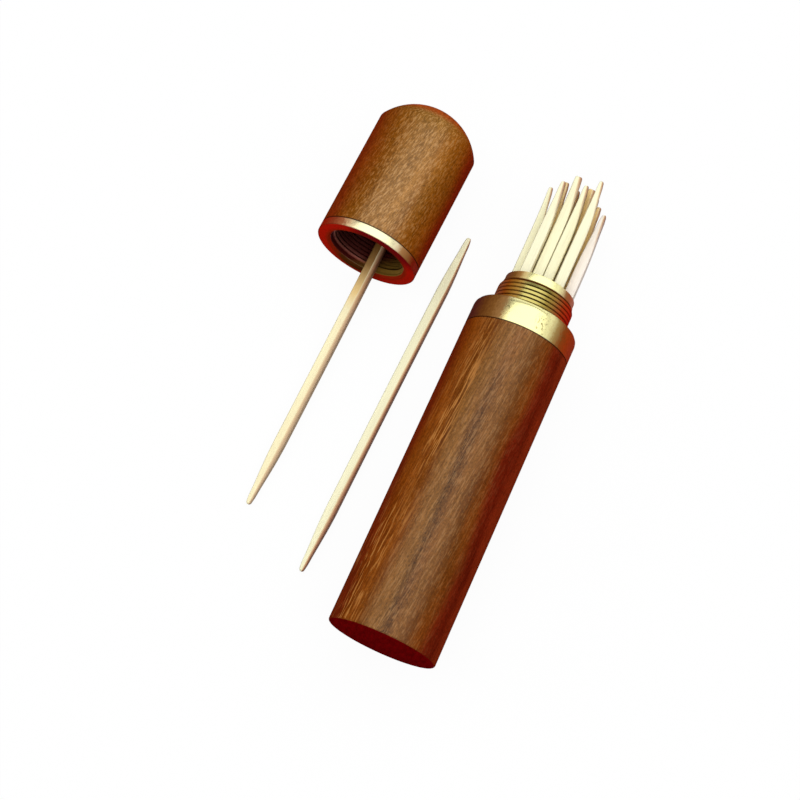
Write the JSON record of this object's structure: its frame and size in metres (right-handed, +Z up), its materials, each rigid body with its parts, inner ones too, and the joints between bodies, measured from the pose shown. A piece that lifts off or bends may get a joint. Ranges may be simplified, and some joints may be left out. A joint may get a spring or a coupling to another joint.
{
  "type": "toothpick dispenser",
  "caption": "Pocket toothpick holder lying open: turned wooden tube and domed cap with brass ferrules that screw together, wooden picks partly drawn out.",
  "frame": {"origin": "on the surface the pieces lie on, under the centre of the bounding box of all pieces", "axes": "+Y along the tube from its closed foot to its neck, +Z up from the surface, +X to the right, from the cap towards the tube"},
  "size_m": [0.047, 0.0874, 0.018],
  "materials": {
    "tube_wood": "oiled, satin, straight grained",
    "cap_wood": "oiled, satin, finely mottled",
    "brass": "turned and lightly polished",
    "pick_wood": "bare, planed"
  },
  "bodies": {
    "tube": {"tube_wood": "tube_wood", "neck_collar": "brass"},
    "cap": {"cap_wood": "cap_wood", "cap_insert": "brass"},
    "cap_pick": {"cap_pick": "pick_wood"},
    "loose_pick": {"loose_pick": "pick_wood"},
    "tube_pick_01": {"tube_pick_01": "pick_wood"},
    "tube_pick_02": {"tube_pick_02": "pick_wood"},
    "tube_pick_03": {"tube_pick_03": "pick_wood"},
    "tube_pick_04": {"tube_pick_04": "pick_wood"},
    "tube_pick_05": {"tube_pick_05": "pick_wood"},
    "tube_pick_06": {"tube_pick_06": "pick_wood"},
    "tube_pick_07": {"tube_pick_07": "pick_wood"},
    "tube_pick_08": {"tube_pick_08": "pick_wood"},
    "tube_pick_09": {"tube_pick_09": "pick_wood"},
    "tube_pick_10": {"tube_pick_10": "pick_wood"},
    "tube_pick_11": {"tube_pick_11": "pick_wood"},
    "tube_pick_12": {"tube_pick_12": "pick_wood"},
    "tube_pick_13": {"tube_pick_13": "pick_wood"},
    "tube_pick_14": {"tube_pick_14": "pick_wood"}
  },
  "joints": [
    {"name": "cap_draw_off", "type": "slide", "parent": "tube", "child": "cap", "axis": [0.0349, 0.9994, 0], "range_m": [0, 0.03]},
    {"name": "cap_pick_draw", "type": "slide", "parent": "cap", "child": "cap_pick", "axis": [-0.0349, -0.9994, 0], "range_m": [0, 0.021]},
    {"name": "loose_pick_lift", "type": "slide", "parent": "tube", "child": "loose_pick", "axis": [0, 0, 1], "range_m": [0, 0.03]},
    {"name": "tube_pick_01_slide", "type": "slide", "parent": "tube", "child": "tube_pick_01", "axis": [0, 1, 0], "range_m": [-0.0086, 0.048]},
    {"name": "tube_pick_02_slide", "type": "slide", "parent": "tube", "child": "tube_pick_02", "axis": [0, 1, 0], "range_m": [-0.00971, 0.04689]},
    {"name": "tube_pick_03_slide", "type": "slide", "parent": "tube", "child": "tube_pick_03", "axis": [0, 1, 0], "range_m": [-0.01207, 0.04453]},
    {"name": "tube_pick_04_slide", "type": "slide", "parent": "tube", "child": "tube_pick_04", "axis": [0, 1, 0], "range_m": [-0.01106, 0.04554]},
    {"name": "tube_pick_05_slide", "type": "slide", "parent": "tube", "child": "tube_pick_05", "axis": [0, 1, 0], "range_m": [-0.01198, 0.04462]},
    {"name": "tube_pick_06_slide", "type": "slide", "parent": "tube", "child": "tube_pick_06", "axis": [0, 1, 0], "range_m": [-0.00737, 0.04923]},
    {"name": "tube_pick_07_slide", "type": "slide", "parent": "tube", "child": "tube_pick_07", "axis": [0, 1, 0], "range_m": [-0.00967, 0.04693]},
    {"name": "tube_pick_08_slide", "type": "slide", "parent": "tube", "child": "tube_pick_08", "axis": [0, 1, 0], "range_m": [-0.01134, 0.04526]},
    {"name": "tube_pick_09_slide", "type": "slide", "parent": "tube", "child": "tube_pick_09", "axis": [0, 1, 0], "range_m": [-0.0106, 0.046]},
    {"name": "tube_pick_10_slide", "type": "slide", "parent": "tube", "child": "tube_pick_10", "axis": [0, 1, 0], "range_m": [-0.01169, 0.04491]},
    {"name": "tube_pick_11_slide", "type": "slide", "parent": "tube", "child": "tube_pick_11", "axis": [0, 1, 0], "range_m": [-0.00927, 0.04733]},
    {"name": "tube_pick_12_slide", "type": "slide", "parent": "tube", "child": "tube_pick_12", "axis": [0, 1, 0], "range_m": [-0.00877, 0.04783]},
    {"name": "tube_pick_13_slide", "type": "slide", "parent": "tube", "child": "tube_pick_13", "axis": [0, 1, 0], "range_m": [-0.01017, 0.04643]},
    {"name": "tube_pick_14_slide", "type": "slide", "parent": "tube", "child": "tube_pick_14", "axis": [0, 1, 0], "range_m": [-0.00797, 0.04863]}
  ]
}
